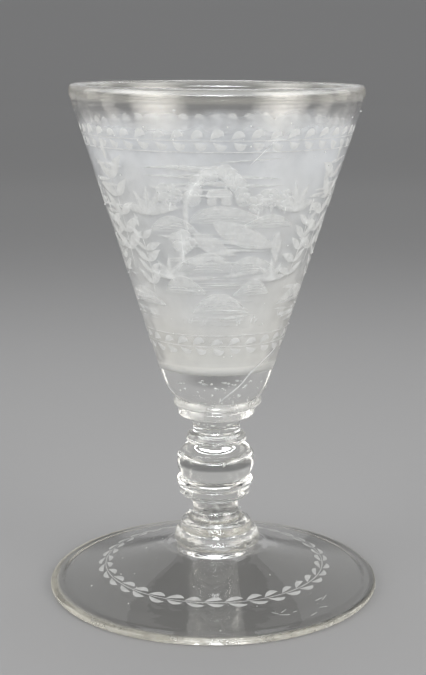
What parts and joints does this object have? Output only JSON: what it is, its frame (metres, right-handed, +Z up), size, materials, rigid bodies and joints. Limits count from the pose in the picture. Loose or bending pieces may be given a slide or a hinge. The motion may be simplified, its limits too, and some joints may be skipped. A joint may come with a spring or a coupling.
{
  "type": "stemmed drinking glass",
  "caption": "Clear blown-glass goblet: engraved conical bowl on a collared, knopped stem with a wide, low conical foot. Stands on the foot and holds about a pint.",
  "frame": {"origin": "centre of the ring that the foot rests on", "axes": "+Z up along the stem from the foot to the rim; +X to the right in the front view; the front of the engraved frieze faces -Y"},
  "size_m": [0.1304, 0.1304, 0.197],
  "materials": {
    "bowl_glass": "clear blown soda glass with a faint straw tint, hazed inside and wheel engraved outside",
    "collar_glass": "clear fire-polished soda glass, slightly wavy",
    "knop_glass": "clear fire-polished soda glass with small bubbles",
    "foot_glass": "clear soda glass with a fire-polished edge, light wear scratches and a wheel-engraved garland"
  },
  "bodies": {
    "root": {"bowl": "bowl_glass", "upper_collar_top_ring": "collar_glass", "upper_collar_bottom_ring": "collar_glass", "upper_neck": "knop_glass", "ring_knop": "knop_glass", "ball_knop": "knop_glass", "lower_collar_top_ring": "collar_glass", "lower_collar_bottom_ring": "collar_glass", "stem_base": "knop_glass", "foot_boss": "foot_glass", "foot": "foot_glass"}
  },
  "joints": []
}
